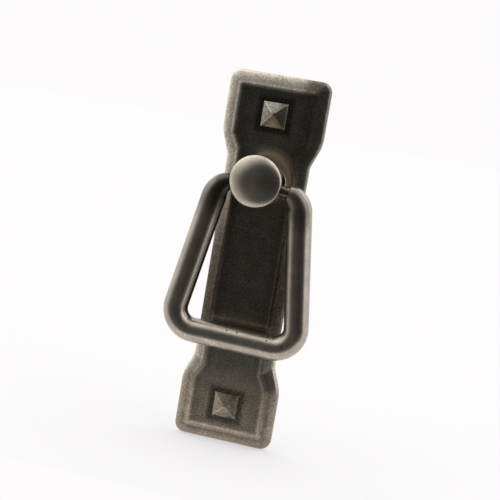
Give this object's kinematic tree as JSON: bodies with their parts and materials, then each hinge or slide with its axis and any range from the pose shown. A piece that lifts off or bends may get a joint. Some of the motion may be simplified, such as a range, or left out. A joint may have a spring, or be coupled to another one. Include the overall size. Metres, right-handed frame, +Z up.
{
  "type": "cabinet pull",
  "caption": "Waisted cast backplate with pyramid studs and a turned post that carries a swinging trapezoid bail for opening a cabinet door or drawer.",
  "frame": {"origin": "on the axis of the screw hole, in the plane of the plate's back, which lies on the door", "axes": "+Z up along the plate, -Y out of the door towards the user, +X to the user's right"},
  "size_m": [0.0423, 0.0181, 0.108],
  "materials": {
    "plate_metal": "antique pewter plating on a zinc casting, dark in the hollows and rubbed pale on the ridges",
    "post_metal": "antique pewter plating, satin, rubbed bright round the face's rim",
    "bail_metal": "antique pewter plating, rubbed smooth where fingers go, with small casting pits"
  },
  "bodies": {
    "plate": {"backplate": "plate_metal", "post": "post_metal"},
    "bail": {"bail": "bail_metal"}
  },
  "joints": [
    {"name": "bail_swing", "type": "hinge", "parent": "plate", "child": "bail", "pos_m": [0, -0.01135, -0.00095], "axis": [-1, 0, 0], "range_deg": [-5, 180]}
  ]
}
